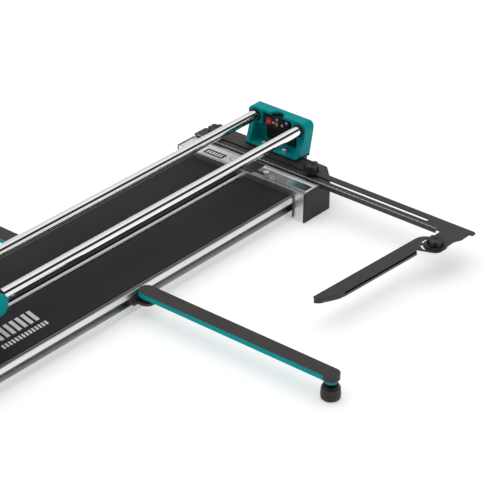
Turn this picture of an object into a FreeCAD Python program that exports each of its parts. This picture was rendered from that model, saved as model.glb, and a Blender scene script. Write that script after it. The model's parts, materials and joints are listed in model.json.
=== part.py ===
import FreeCAD, Part
import math
import os

# Double-rail manual tile cutter, in millimetres.
# +X runs along the rails towards the far end, +Y to the back, +Z up.
# The origin is on the bench, under the middle of the base.

vector = FreeCAD.Vector

# ---- base ----
deck_length = 1000.0
base_width = 254.0
base_underside = 6.0
deck_top = 44.5
side_rail_top = 47.0
side_rail_width = 26.0
rail_spacer = 4.0
side_lip = 2.4
panel_thickness = 3.0
pad_thickness = 3.1
pad_edge_width = 6.2
pad_edge_rise = 0.5
pad_gap = 0.7
spine_width = 30.0
breaker_width = 7.2
breaker_height = 14.0
breaker_top = 49.2
breaker_gap = 4.8
profile_wall = 3.0

# ---- T-slot in the side rails ----
slot_mouth = 15.0
slot_centre_height = 29.0
slot_lip = 3.5
slot_room_height = 19.4
slot_room_depth = 8.0

# ---- end beams ----
beam_setback = 18.0
beam_length = 304.0
beam_underside = 1.0
beam_top = 59.5
beam_corner = 37.0
cap_thickness = 2.8
cap_plug = 14.0
beam_roof = 9.5
top_plate_thickness = 2.0
label_thickness = 0.3
label_depth = 43.5
rest_pad_size = 60.0
rest_pad_recess = 2.0

# ---- rails and brackets ----
rail_radius = 10.0
rail_spacing = 102.0
rail_height = 116.0
bracket_clearance = 4.5
bracket_foot_depth = 16.5
bracket_depth = 25.0
bracket_half_foot = 60.0
bracket_shoulder = 16.5
bracket_shoulder_round = 11.0
bracket_rise = 16.0
bracket_brow = rail_height - 19.0
bracket_floor = 2.6
gasket_thickness = 2.6
gasket_margin = 1.0
bracket_wall = 7.0
bracket_roof = 5.0
bracket_back_wall = 8.0
apron_depth = 22.0
apron_gap = 0.2
collar_radius = 12.4
collar_length = 5.0
rail_socket_end = 5.0
bracket_bolt_spread = 48.0
bolt_radius = 4.0
hex_across_flats = 13.0
hex_height = 5.5
washer_radius = 8.0
washer_thickness = 1.6

# ---- line laser in the far bracket ----
laser_width = 54.0
laser_height = 26.0
laser_inset = 2.0
laser_floor = rail_height - 17.0
switch_width = 11.0
switch_height = 14.0
switch_offset = 20.5
lens_radius = 4.2
lens_offset = 0.0
cover_height = 28.0
cutout_radius = 14.0

# ---- fence ----
fence_bar_width = 37.0
fence_bar_front = 49.0
fence_bar_thickness = 2.0
fence_bar_inner_end = 155.0
fence_bar_outer_end = -461.5
fence_nib = 6.5
fence_flange = 6.0
fence_flange_thickness = 2.5
fence_flange_end = -405.5
fence_slot_width = 7.4
fence_slot_inner = 138.0
fence_slot_outer = -377.0
fence_stud_radius = 3.0
fence_stud_spread = 228.0
clamp_knob_radius = 15.5
clamp_knob_height = 14.0
clamp_hub_height = 6.5
knob_lobes = 6
pivot_from_beam = 6.0
pivot_side = -436.0
pivot_lobe_radius = 19.5
pivot_bolt_radius = 4.0
pivot_knob_radius = 15.5
pivot_knob_height = 8.0
pivot_hub_height = 1.5
swivel_angle = 3.3
swivel_inner_offset = 13.7
swivel_outer_offset = 40.0
swivel_reach = 281.0
swivel_bend = 238.0
swivel_thickness = 2.2
swivel_flange = 8.5
swivel_eye_radius = 20.0
swivel_slot_radius = 24.0
swivel_slot_width = 4.5

# ---- outriggers ----
front_outrigger_place = 81.5
rear_outrigger_place = 60.0
outrigger_pivot_side = 142.0
outrigger_reach = 392.0
outrigger_width = 29.0
outrigger_height = 11.0
outrigger_top = 48.5
outrigger_strip = 1.5
outrigger_wall = 1.6
outrigger_pin_radius = 4.0
slider_length = 56.0
slider_fork = 5.0
slider_fork_height = 24.0
foot_radius = 17.0
foot_height = 26.0
foot_ribs = 24
foot_stud_radius = 5.0
foot_collar_radius = 10.5

# ---- carriage ----
carriage_place = -254.0
carriage_length = 164.0
housing_width = 38.0
housing_low = rail_height - 23.0
housing_high = rail_height + 17.0
hump_length = 116.0
hump_top = rail_height + 38.0
roller_radius = 12.0
roller_width = 12.0
roller_spread = 76.0
roller_axle_radius = 4.0
shoe_length = 22.0
bridge_low = rail_height - 12.0
front_bridge_high = rail_height + 10.0
rear_bridge_high = rail_height + 1.0
lever_pivot_ahead = 50.0
lever_pivot_height = rail_height + 25.0
lever_thickness = 12.0
lever_pin_radius = 5.0
lever_hub_radius = 13.0
lever_rise = 32.0
handle_length = 235.0
handle_radius = 9.0
grip_length = 125.0
grip_radius = 16.0
wheel_radius = 11.0
wheel_thickness = 2.6
wheel_axle_radius = 3.0
wheel_behind = 5.0
wheel_lift = 12.0
breaker_pin_ahead = 20.0
breaker_pin_height = rail_height - 28.0
breaker_foot_span = 60.0
breaker_foot_low = breaker_pin_height - 26.0
breaker_pin_radius = 3.5

# ---- clearances ----
running_fit = 0.05
sliding_gap = 0.4
lift_gap = 0.3

# ---- worked out from the sizes above ----
bracket_foot_front = fence_bar_front + fence_bar_width + bracket_clearance
bracket_face = bracket_foot_front + bracket_foot_depth
bracket_back = bracket_face + bracket_depth
beam_depth = bracket_back - beam_setback
laser_front = bracket_face + laser_inset
half_deck = deck_length / 2
half_width = base_width / 2
half_beam = beam_length / 2
rail_side = rail_spacing / 2
pad_top = deck_top + pad_thickness
plate_seat = beam_top - top_plate_thickness
bar_underside = beam_top + lift_gap
bar_top = bar_underside + fence_bar_thickness
slot_line = half_deck + fence_bar_front + fence_bar_width / 2
bracket_top = rail_height + bracket_rise
bracket_base = beam_top + gasket_thickness
floor_top = bracket_base + bracket_floor
rail_end = half_deck - rail_spacer


def block(x0, x1, y0, y1, z0, z1):
    """A box between two corners."""
    return Part.makeBox(x1 - x0, y1 - y0, z1 - z0, vector(x0, y0, z0))


def rod(centre, direction, radius, length):
    """A cylinder that starts at centre and runs along direction."""
    return Part.makeCylinder(radius, length, centre, direction)


def along_x(x0, x1, y, z, radius):
    return rod(vector(x0, y, z), vector(1, 0, 0), radius, x1 - x0)


def along_y(y0, y1, x, z, radius):
    return rod(vector(x, y0, z), vector(0, 1, 0), radius, y1 - y0)


def along_z(z0, z1, x, y, radius):
    return rod(vector(x, y, z0), vector(0, 0, 1), radius, z1 - z0)


def rounded_face(corners):
    """A flat face in XY; each corner is (x, y, radius), and a radius of 0 stays sharp."""
    edges = []
    count = len(corners)
    entries = []
    exits = []
    middles = []
    for index in range(count):
        x, y, radius = corners[index]
        here = vector(x, y, 0)
        before = vector(corners[index - 1][0], corners[index - 1][1], 0)
        after = vector(corners[(index + 1) % count][0], corners[(index + 1) % count][1], 0)
        back = (before - here).normalize()
        ahead = (after - here).normalize()
        if radius <= 0:
            entries.append(here)
            exits.append(here)
            middles.append(None)
            continue
        half_turn = back.getAngle(ahead) / 2
        run = radius / math.tan(half_turn)
        entries.append(here + back * run)
        exits.append(here + ahead * run)
        middle_line = (back + ahead).normalize()
        reach = radius / math.sin(half_turn) - radius
        middles.append(here + middle_line * reach)
    for index in range(count):
        if middles[index] is not None:
            edges.append(Part.Arc(entries[index], middles[index], exits[index]).toShape())
        following = entries[(index + 1) % count]
        if exits[index].distanceToPoint(following) > 1e-6:
            edges.append(Part.LineSegment(exits[index], following).toShape())
    return Part.Face(Part.Wire(edges))


def prism_z(corners, z0, z1):
    """An outline of (x, y, radius) corners, raised from z0 to z1."""
    face = rounded_face(corners)
    face.translate(vector(0, 0, z0))
    return face.extrude(vector(0, 0, z1 - z0))


def prism_x(corners, x0, x1):
    """An outline of (y, z, radius) corners, drawn from x0 to x1."""
    face = rounded_face(corners)
    face.rotate(vector(0, 0, 0), vector(1, 1, 1), 120)
    face.translate(vector(x0, 0, 0))
    return face.extrude(vector(x1 - x0, 0, 0))


def prism_y(corners, y0, y1):
    """An outline of (x, z, radius) corners, drawn from y0 to y1."""
    face = rounded_face(corners)
    face.rotate(vector(0, 0, 0), vector(1, 0, 0), 90)
    face.translate(vector(0, y0, 0))
    return face.extrude(vector(0, y1 - y0, 0))


def to_rear(shape):
    """The same piece on the other side of the cutting line."""
    return shape.mirror(vector(0, 0, 0), vector(0, 1, 0))


def to_near(shape):
    """The same piece at the operator's end."""
    return shape.mirror(vector(0, 0, 0), vector(1, 0, 0))


def joined(pieces):
    result = pieces[0]
    for piece in pieces[1:]:
        result = result.fuse(piece)
    return result.removeSplitter()


def group(pieces):
    return Part.makeCompound(pieces)


def save(name, shape):
    shape.exportStep("parts/" + name + ".step")


def hexagon(across_flats):
    reach = across_flats / math.sqrt(3)
    return [(reach * math.cos(math.radians(60 * step)), reach * math.sin(math.radians(60 * step)), 0)
            for step in range(6)]


def hex_bolt(x, y, seat, shank):
    """A hex bolt with its washer, head up, standing on seat."""
    head = prism_z(hexagon(hex_across_flats), seat + washer_thickness,
                   seat + washer_thickness + hex_height)
    head.translate(vector(x, y, 0))
    dome = Part.makeSphere(hex_across_flats * 0.9,
                           vector(x, y, seat + washer_thickness + hex_height - 11.2))
    washer = along_z(seat, seat + washer_thickness, x, y, washer_radius)
    stem = along_z(seat - shank, seat, x, y, bolt_radius)
    return joined([head.common(dome), washer, stem])


# ---- base: side rails, spine, deck, pads and breaker bar ----

def side_rail():
    outer = -half_width
    inner = outer + side_rail_width
    roof = deck_top - panel_thickness
    body = block(-rail_end, rail_end, outer, inner, base_underside, roof)
    lip = block(-rail_end, rail_end, outer, outer + side_lip, roof, side_rail_top)
    low = slot_centre_height - slot_room_height / 2
    high = slot_centre_height + slot_room_height / 2
    room = block(-half_deck, half_deck, outer + slot_lip, outer + slot_lip + slot_room_depth, low, high)
    mouth_low = slot_centre_height - slot_mouth / 2
    mouth = block(-half_deck, half_deck, outer, outer + slot_lip, mouth_low, mouth_low + slot_mouth)
    hollow_start = outer + slot_lip + slot_room_depth + profile_wall
    hollow = block(-half_deck, half_deck, hollow_start, inner - profile_wall,
                   base_underside + profile_wall, roof - profile_wall)
    foot_hollow = block(-half_deck, half_deck, outer + profile_wall, hollow_start - profile_wall,
                        base_underside + profile_wall, low - profile_wall)
    return body.fuse(lip).cut(room).cut(mouth).cut(hollow).cut(foot_hollow).removeSplitter()


def rail_spacers():
    """Black plastic pieces between the ends of the side rails and the end beams."""
    outer = -half_width
    spacer = block(rail_end, half_deck, outer, outer + side_rail_width, base_underside,
                   deck_top - panel_thickness)
    lip = block(rail_end, half_deck, outer, outer + side_lip, deck_top - panel_thickness, side_rail_top)
    piece = joined([spacer, lip])
    pair = [piece, to_rear(piece)]
    return group(pair + [to_near(each) for each in pair])


def centre_spine():
    side = spine_width / 2
    top = deck_top - panel_thickness
    body = block(-half_deck, half_deck, -side, side, base_underside, top)
    seat = breaker_top - breaker_height
    groove_side = breaker_width / 2
    groove = block(-half_deck, half_deck, -groove_side, groove_side, seat, top)
    hollow = block(-half_deck, half_deck, -side + profile_wall, side - profile_wall,
                   base_underside + profile_wall, seat - profile_wall)
    return body.cut(groove).cut(hollow)


def deck_panel():
    outer = -half_width + side_lip
    inner = -(breaker_width / 2 + breaker_gap) + 1.0
    return block(-half_deck, half_deck, outer, inner, deck_top - panel_thickness, deck_top)


def pad():
    outer = -half_width + side_lip + 2 * pad_gap + pad_edge_width
    inner = -(breaker_width / 2 + breaker_gap)
    corners = [(outer, deck_top, 0), (inner, deck_top, 0), (inner, pad_top, 1.0), (outer, pad_top, 1.0)]
    return prism_x(corners, -half_deck, half_deck)


def pad_edge():
    outer = -half_width + side_lip + pad_gap
    inner = outer + pad_edge_width
    top = pad_top + pad_edge_rise
    corners = [(outer, deck_top, 0), (inner, deck_top, 0), (inner, top, 2.4), (outer, top, 2.4)]
    return prism_x(corners, -half_deck, half_deck)


def breaker_bar():
    side = breaker_width / 2
    low = breaker_top - breaker_height
    corners = [(-side, low, 0), (side, low, 0), (side, breaker_top, 2.6), (-side, breaker_top, 2.6)]
    return prism_x(corners, -half_deck, half_deck)


# ---- end beams ----

def beam_outline(depth, half_length, corner, blend):
    """Plan of an end beam, with its two outer corners cut at 45 degrees."""
    far = half_deck + depth
    return [(half_deck, -half_length, 0), (far - corner, -half_length, blend),
            (far, -half_length + corner, blend), (far, half_length - corner, blend),
            (far - corner, half_length, blend), (half_deck, half_length, 0)]


def beam_body(low, high):
    corner = beam_corner - cap_thickness + cap_thickness * math.sqrt(2)
    return prism_z(beam_outline(beam_depth, half_beam - cap_thickness, corner, 8.0), low, high)


def beam_room():
    return block(half_deck + profile_wall, half_deck + beam_depth - profile_wall, -half_beam, half_beam,
                 beam_underside + profile_wall, beam_top - beam_roof)


def groove_span():
    front = half_deck + fence_bar_front - 1.2
    return front, front + fence_flange_thickness + 2.4


def groove_floor():
    return bar_underside - fence_flange - 1.2


def end_beam():
    body = beam_body(beam_underside, beam_top - label_thickness).cut(beam_room())
    front, back = groove_span()
    seat = block(back, half_deck + beam_depth, -half_beam, half_beam, plate_seat, beam_top)
    groove = block(front, back, -half_beam, half_beam, groove_floor(), beam_top)
    return body.cut(seat).cut(groove)


def far_beam():
    body = end_beam()
    for side in (-1, 1):
        stud_y = side * fence_stud_spread / 2
        body = body.cut(along_z(beam_top - beam_roof - 1, beam_top, slot_line, stud_y,
                                fence_stud_radius))
        bolt_y = side * bracket_bolt_spread / 2
        body = body.cut(along_z(beam_top - beam_roof - 1, beam_top, bolt_line(), bolt_y, bolt_radius))
    return body.cut(rest_pad_pockets())


def near_beam():
    body = end_beam()
    for side in (-1, 1):
        bolt_y = side * bracket_bolt_spread / 2
        body = body.cut(along_z(beam_top - beam_roof - 1, beam_top, bolt_line(), bolt_y, bolt_radius))
    return to_near(body.cut(rest_pad_pockets()))


def bolt_line():
    """Distance along X of the bolts that hold a bracket to its beam."""
    return half_deck + bracket_foot_front + 12.5


def top_plate():
    """The painted steel plate on the beam, under the fence bar and the bracket."""
    back_of_groove = groove_span()[1]
    body = beam_body(plate_seat, beam_top)
    kept = block(back_of_groove, half_deck + beam_depth, -half_beam, half_beam, plate_seat, beam_top)
    plate = body.common(kept)
    for side in (-1, 1):
        bolt_y = side * bracket_bolt_spread / 2
        plate = plate.cut(along_z(plate_seat, beam_top, bolt_line(), bolt_y, bolt_radius))
    return plate


def far_top_plate():
    plate = top_plate()
    for side in (-1, 1):
        stud_y = side * fence_stud_spread / 2
        plate = plate.cut(along_z(plate_seat, beam_top, slot_line, stud_y, fence_stud_radius))
    return plate


def scale_label():
    half = half_beam - cap_thickness - 1.0
    return block(half_deck + 1.0, half_deck + label_depth, -half, half, beam_top - label_thickness,
                 beam_top)


def end_cap():
    """A plastic cap over one end of a beam and its cut corner, with a plug in the hollow."""
    outline = beam_outline(beam_depth, half_beam, beam_corner, 10.0)
    shell = prism_z(outline, beam_underside, beam_top).cut(beam_body(beam_underside, beam_top))
    kept = block(half_deck, half_deck + beam_depth, -half_beam, -beam_length / 4, beam_underside,
                 beam_top)
    shell = shell.common(kept)
    inside = half_beam - cap_thickness
    plug_outline = [(half_deck + profile_wall + 0.5, -inside, 0), (half_deck + 70, -inside, 0),
                    (half_deck + 70, -inside + cap_plug, 0), (half_deck + profile_wall + 0.5,
                            -inside + cap_plug, 0)]
    plug = prism_z(plug_outline, beam_underside + profile_wall + 0.5, beam_top - beam_roof - 0.5)
    front, back = groove_span()
    groove = block(front, back, -half_beam, half_beam, groove_floor(), beam_top)
    return joined([shell, plug]).cut(groove)


def rest_pad_blocks():
    """Rubber pads under one end beam."""
    middle = half_deck + beam_depth / 2
    pads = []
    for side in (-1, 1):
        y = side * (half_beam - rest_pad_size * 0.75)
        half = rest_pad_size / 2
        corners = [(middle - half, y - half * 0.6, 5), (middle + half * 0.5, y - half * 0.6, 5),
                   (middle + half * 0.5, y + half * 0.6, 5), (middle - half, y + half * 0.6, 5)]
        pads.append(prism_z(corners, 0, beam_underside + rest_pad_recess))
    return pads


def rest_pad_pockets():
    return group(rest_pad_blocks())


def rest_pads():
    ends = rest_pad_blocks()
    half = rest_pad_size / 2
    side = spine_width / 2 - 1.0
    corners = [(-half, -side, 5), (half, -side, 5), (half, side, 5), (-half, side, 5)]
    middle = prism_z(corners, 0, base_underside)
    return group(ends + [to_near(piece) for piece in ends] + [middle])


# ---- rails, brackets and their fasteners ----

def bracket_side(foot, top):
    """The bracket seen along the rails, drawn as corners of (y, z, radius)."""
    side = rail_side + bracket_shoulder
    return [(-foot, bracket_base, 2.0), (foot, bracket_base, 2.0), (side, rail_height, 10.0),
            (side, top, bracket_shoulder_round), (-side, top, bracket_shoulder_round), (-side,
                    rail_height, 10.0)]


def bracket():
    front = half_deck + bracket_foot_front
    face = half_deck + bracket_face
    back = half_deck + bracket_back
    profile = [(front, bracket_base, 0), (back, bracket_base, 0), (back, bracket_top, 2.0),
               (face, bracket_top, 1.5),
               (face, bracket_brow, 8.0), (front, floor_top, 2.0)]
    span = rail_side + bracket_shoulder + 1
    side_view = prism_y(profile, -span, span)
    end_view = prism_x(bracket_side(bracket_half_foot, bracket_top), front - 1, back + 1)
    body = side_view.common(end_view)
    wall = back - bracket_back_wall
    inner = bracket_half_foot - bracket_wall
    boss_low = rail_height - rail_radius - 5.0
    low_room = [(-inner, floor_top, 3.0), (inner, floor_top, 3.0), (inner, boss_low, 6.0),
                (-inner, boss_low, 6.0)]
    body = body.cut(prism_x(low_room, front - 1, wall))
    high_side = rail_side - bracket_shoulder
    roof = bracket_top - bracket_roof
    high_room = [(-high_side, floor_top, 3.0), (high_side, floor_top, 3.0), (high_side, roof, 5.0),
                 (-high_side, roof, 5.0)]
    body = body.cut(prism_x(high_room, front - 1, wall))
    body = body.cut(along_z(roof - 1, bracket_top + 1, face, 0, cutout_radius))
    socket_end = back - rail_socket_end
    for side in (-1, 1):
        body = body.cut(along_x(face - 1, socket_end, side * rail_side, rail_height, rail_radius))
        body = body.cut(along_x(socket_end - 1, back + 1, side * rail_side, rail_height, bolt_radius))
        bolt_y = side * bracket_bolt_spread / 2
        body = body.cut(along_z(bracket_base - 1, floor_top + 1, bolt_line(), bolt_y, bolt_radius))
    return body


def gasket():
    """A black plastic seat under the bracket, with an apron down behind the beam."""
    front = half_deck + bracket_foot_front - gasket_margin
    back = half_deck + bracket_back
    side = bracket_half_foot + gasket_margin
    seat = prism_z([(front, -side, 2.0), (back, -side, 2.0), (back, side, 2.0), (front, side, 2.0)],
                   beam_top, bracket_base)
    apron_start = half_deck + beam_depth + apron_gap
    apron_side = side - bracket_wall
    corners = [(-apron_side, beam_top - apron_depth, 6.0), (apron_side, beam_top - apron_depth, 6.0),
               (apron_side, beam_top, 0), (-apron_side, beam_top, 0)]
    body = joined([seat, prism_x(corners, apron_start, back)])
    for side in (-1, 1):
        bolt_y = side * bracket_bolt_spread / 2
        body = body.cut(along_z(beam_top - 1, bracket_base + 1, bolt_line(), bolt_y, bolt_radius))
    return body


def rail():
    reach = half_deck + bracket_back - rail_socket_end
    body = along_x(-reach, reach, -rail_side, rail_height, rail_radius)
    for start in (-reach, reach - 22):
        body = body.cut(along_x(start, start + 22, -rail_side, rail_height, bolt_radius))
    return body


def rail_collars():
    """Rubber bumper rings that stop the carriage at both ends of both rails."""
    start = half_deck + bracket_face - collar_length
    ring = along_x(start, start + collar_length, -rail_side, rail_height, collar_radius)
    ring = ring.cut(along_x(start, start + collar_length, -rail_side, rail_height, rail_radius))
    front_edge = [edge for edge in ring.Edges if edge.BoundBox.XMax < start + 0.1
            and edge.BoundBox.YLength > 2 * collar_radius - 1]
    ring = ring.makeFillet(1.5, front_edge)
    pair = [ring, to_rear(ring)]
    return group(pair + [to_near(piece) for piece in pair])


def bracket_bolts():
    grip = floor_top - beam_top + beam_roof
    bolts = [hex_bolt(bolt_line(), side * bracket_bolt_spread / 2, floor_top, grip) for side in (-1, 1)]
    return group(bolts + [to_near(bolt) for bolt in bolts])


def rail_screws():
    """Cap screws that pull the rails into the brackets from behind."""
    back = half_deck + bracket_back
    seat = back + washer_thickness
    screws = []
    for side in (-1, 1):
        head = along_x(seat, seat + 8.0, side * rail_side, rail_height, 6.5)
        head = head.cut(hex_socket(seat + 4.0, seat + 8.0, side * rail_side))
        ring = along_x(back, seat, side * rail_side, rail_height, washer_radius)
        stem = along_x(back - rail_socket_end - 16, seat, side * rail_side, rail_height, bolt_radius)
        screws.append(joined([head, ring, stem]))
    return group(screws + [to_near(screw) for screw in screws])


def hex_socket(x0, x1, y):
    corners = [(y + a, rail_height + b, 0) for a, b, unused in hexagon(6.0)]
    return prism_x(corners, x0, x1)


# ---- line laser ----

def laser_housing():
    front = half_deck + laser_front
    back = half_deck + bracket_back - bracket_back_wall
    half = laser_width / 2
    top = laser_floor + laser_height
    corners = [(-half, laser_floor, 2.0), (half, laser_floor, 2.0), (half, top, 3.0), (-half, top, 3.0)]
    body = prism_x(corners, front, back)
    middle = laser_floor + laser_height / 2
    pocket_side = switch_width / 2 + sliding_gap
    pocket_rise = switch_height / 2 + 1.4
    body = body.cut(block(front - 1, front + 7.0, switch_offset - pocket_side,
                          switch_offset + pocket_side,
                          middle - pocket_rise, middle + pocket_rise))
    body = body.cut(along_x(front - 1, front + 6.0, lens_offset, middle, lens_radius))
    for y, z in laser_screw_places():
        body = body.cut(along_x(front - 1, front + 5.0, y, z, 1.2))
    return body


def laser_screw_places():
    low = laser_floor + laser_height * 0.5
    high = laser_floor + laser_height - 4.5
    return [(9.0, low), (-12.0, low), (0.5, high), (-22.0, high)]


def laser_screws():
    front = half_deck + laser_front
    screws = []
    for y, z in laser_screw_places():
        head = along_x(front - 1.8, front, y, z, 2.7)
        slot = block(front - 2.0, front - 1.1, y - 3.0, y + 3.0, z - 0.4, z + 0.4)
        screws.append(joined([head.cut(slot), along_x(front, front + 5.0, y, z, 1.2)]))
    return group(screws)


def laser_lens():
    """Brass barrel with its aperture."""
    front = half_deck + laser_front
    middle = laser_floor + laser_height / 2
    barrel = along_x(front - 3.0, front + 6.0, lens_offset, middle, lens_radius)
    return barrel.cut(along_x(front - 3.0, front - 1.0, lens_offset, middle, lens_radius * 0.55))


def switch_axis():
    return half_deck + laser_front + 3.0, laser_floor + laser_height / 2


def laser_switch():
    """Rocker that tips about an axis across the cutter."""
    axis_x, axis_z = switch_axis()
    half = switch_height / 2
    corners = [(axis_x + 2.0, axis_z - half + 1.6, 0), (axis_x + 2.0, axis_z + half - 1.6, 0),
               (axis_x - 4.6, axis_z + half, 0.8), (axis_x - 3.4, axis_z, 12.0), (axis_x - 5.8,
                       axis_z - half, 0.8)]
    return prism_y(corners, switch_offset - switch_width / 2, switch_offset + switch_width / 2)


def battery_cover():
    back = half_deck + bracket_back - bracket_back_wall
    half = rail_side - bracket_shoulder - 1.0
    low = laser_floor - 2.0 - cover_height
    corners = [(-half, low, 3.0), (half, low, 3.0), (half, low + cover_height, 3.0),
               (-half, low + cover_height, 3.0)]
    panel = prism_x(corners, back - 4.0, back)
    grip = block(back - 4.0, back - 3.0, -12, 12, low + cover_height - 7.0, low + cover_height - 4.0)
    return panel.cut(grip)


# ---- fence ----

def fence_studs():
    """Studs that stand in the beam and pass through the slot of the fence bar."""
    studs = []
    for side in (-1, 1):
        y = side * fence_stud_spread / 2
        studs.append(along_z(beam_top - beam_roof, bar_top + clamp_knob_height, slot_line, y,
                             fence_stud_radius))
    return group(studs)


def star_knob(x, y, low, radius, hub_height, height, bore):
    """A lobed hand knob with a hub below and a shallow dish on top."""
    lobe = radius * 0.36
    lobe_low = low + hub_height
    top = lobe_low + height
    pieces = [along_z(lobe_low, top, x, y, radius * 0.74),
              along_z(low, lobe_low + 1.0, x, y, radius * 0.5)]
    for step in range(knob_lobes):
        turn = math.radians(step * 360.0 / knob_lobes)
        lobe_x = x + (radius - lobe) * math.cos(turn)
        lobe_y = y + (radius - lobe) * math.sin(turn)
        pieces.append(along_z(lobe_low, top, lobe_x, lobe_y, lobe))
    body = joined(pieces)
    dish = Part.makeSphere(radius * 1.6, vector(x, y, top + radius * 1.6 - 1.2))
    return body.cut(dish).cut(along_z(low - 1, top - 3.0, x, y, bore))


def clamp_knob(side):
    low = bar_top + lift_gap
    return star_knob(slot_line, side * fence_stud_spread / 2, low, clamp_knob_radius, clamp_hub_height,
                     clamp_knob_height, fence_stud_radius + running_fit)


def pivot_x():
    return half_deck + pivot_from_beam


def fence_bar():
    front = half_deck + fence_bar_front
    back = front + fence_bar_width
    end = fence_bar_outer_end
    lobe = pivot_lobe_radius
    lobe_low = pivot_side - lobe
    lobe_high = pivot_side + lobe
    bar = prism_z([(front, end, 0), (back - 13, end, 2), (back - 13, end - fence_nib, 3),
                   (back, end - fence_nib, 6),
                   (back, fence_bar_inner_end, 6), (front, fence_bar_inner_end,
                                                    6)], bar_underside, bar_top)
    tongue = prism_z([(pivot_x() - lobe, lobe_low, lobe - 0.5), (front - 14, lobe_low, 14),
                      (front, end, 0),
                      (front + 1, end, 0), (front + 1, lobe_high, 0), (pivot_x() - lobe, lobe_high,
                              lobe - 0.5)],
                     bar_underside, bar_top)
    flange = block(front, front + fence_flange_thickness, fence_flange_end, fence_bar_inner_end - 8,
                   bar_underside - fence_flange, bar_underside)
    half_slot = fence_slot_width / 2
    slot = prism_z([(slot_line - half_slot, fence_slot_outer, half_slot - 0.01),
                    (slot_line + half_slot, fence_slot_outer, half_slot - 0.01),
                    (slot_line + half_slot, fence_slot_inner, half_slot - 0.01),
                    (slot_line - half_slot, fence_slot_inner,
                     half_slot - 0.01)], bar_underside - 1, bar_top + 1)
    hole = along_z(bar_underside - 1, bar_top + 1, pivot_x(), pivot_side, pivot_bolt_radius)
    return joined([bar, tongue, flange]).cut(slot).cut(hole)


def swivel_arm():
    """The stop arm, drawn along -X from its pivot and then turned to its rest angle."""
    top = bar_underside - lift_gap
    low = top - swivel_thickness
    inner = swivel_inner_offset
    outer = swivel_outer_offset
    eye = swivel_eye_radius
    root = -swivel_slot_radius - 9.0
    blade_corners = [(-swivel_reach, outer, 3.0), (-swivel_reach + 6, inner + 15, 18.0),
                     (-swivel_bend, inner, 40.0),
                     (root, inner, 0), (root, outer, 0)]
    root_corners = [(root, outer, 0), (root, inner, 0), (root + 15, -eye, 15.0), (eye, -eye, eye - 2.0),
                    (eye, outer, eye + 6.0)]
    blade = prism_z(blade_corners, low, top)
    plate = prism_z(root_corners, low, top)
    rim_face = rounded_face(blade_corners)
    rim = rim_face.cut(rim_face.makeOffset2D(-swivel_thickness))
    rim.translate(vector(0, 0, low - swivel_flange))
    rim = rim.extrude(vector(0, 0, swivel_flange))
    kept = block(-swivel_reach - 1, root - swivel_thickness - 1, inner - 1,
                 outer - swivel_thickness - 1,
                 low - swivel_flange, low)
    arm = joined([blade, plate, rim.common(kept)])
    for start, end in ((66, 112), (128, 172)):
        arm = arm.cut(arc_slot(start, end, low, top))
    arm = arm.cut(along_z(low - 1, top + 1, 0, 0, pivot_bolt_radius + running_fit))
    arm.rotate(vector(0, 0, 0), vector(0, 0, 1), -swivel_angle)
    arm.translate(vector(pivot_x(), pivot_side, 0))
    return arm


def arc_slot(start, end, low, top):
    """A curved slot about the pivot, between two angles in degrees."""
    inner = swivel_slot_radius - swivel_slot_width / 2
    outer = swivel_slot_radius + swivel_slot_width / 2
    ring = Part.makeCylinder(outer, top - low + 2, vector(0, 0, low - 1), vector(0, 0, 1), end - start)
    ring = ring.cut(along_z(low - 1, top + 1, 0, 0, inner))
    ring.rotate(vector(0, 0, 0), vector(0, 0, 1), start)
    return ring


def pivot_bolt():
    """The bolt under the swivel arm, whose stem carries the arm and the pivot knob."""
    arm_low = bar_underside - lift_gap - swivel_thickness
    head_top = arm_low - lift_gap
    head = prism_z(hexagon(hex_across_flats), head_top - hex_height, head_top)
    head.translate(vector(pivot_x(), pivot_side, 0))
    stem = along_z(head_top, bar_top + pivot_knob_height - 3.0, pivot_x(), pivot_side,
                   pivot_bolt_radius)
    return joined([head, stem])


def pivot_knob():
    return star_knob(pivot_x(), pivot_side, bar_top + lift_gap, pivot_knob_radius, pivot_hub_height,
                     pivot_knob_height, pivot_bolt_radius + running_fit)


# ---- outriggers, drawn at the front ----

def slider(place):
    outer = -half_width
    gap = sliding_gap
    half = slider_length / 2
    mouth_low = slot_centre_height - slot_mouth / 2 + gap
    mouth_high = slot_centre_height + slot_mouth / 2 - gap
    room_low = slot_centre_height - slot_room_height / 2 + gap
    room_high = slot_centre_height + slot_room_height / 2 - gap
    nut = block(place - half, place + half, outer + slot_lip + gap,
                outer + slot_lip + slot_room_depth - gap,
                room_low, room_high)
    neck = block(place - half, place + half, outer - gap, outer + slot_lip + gap, mouth_low, mouth_high)
    face_top = outrigger_top - outrigger_height - 1.0
    face = block(place - half * 0.7, place + half * 0.7, outer - gap - 3.2, outer - gap, room_low,
                 face_top)
    radius = outrigger_width / 2 + 1.0
    fork_low = slider_fork_height
    fork = prism_z([(place - radius, outer - gap - 3.2, 0), (place + radius, outer - gap - 3.2, 0),
                    (place + radius, -outrigger_pivot_side - radius, radius - 0.5),
                    (place - radius, -outrigger_pivot_side - radius, radius - 0.5)],
                   fork_low, fork_low + slider_fork)
    arm_low = outrigger_top - outrigger_height
    boss = along_z(fork_low + slider_fork, arm_low - lift_gap, place, -outrigger_pivot_side, 9.0)
    hole = along_z(0, 60, place, -outrigger_pivot_side, outrigger_pin_radius)
    return joined([nut, neck, face, fork, boss]).cut(hole)


def pivot_pin(place):
    """A headed pin through the fork and the arm."""
    low = slider_fork_height
    top = outrigger_top - outrigger_strip - 2.2
    stem = along_z(low - 2.5, top, place, -outrigger_pivot_side, outrigger_pin_radius)
    head = along_z(low - 2.5, low, place, -outrigger_pivot_side, 7.0)
    return joined([stem, head])


def outrigger_span():
    """Inner end, outer end and foot line of a front outrigger, along Y."""
    foot_y = -outrigger_pivot_side - outrigger_reach
    return -outrigger_pivot_side + outrigger_width / 2, foot_y - outrigger_width / 2, foot_y


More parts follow.
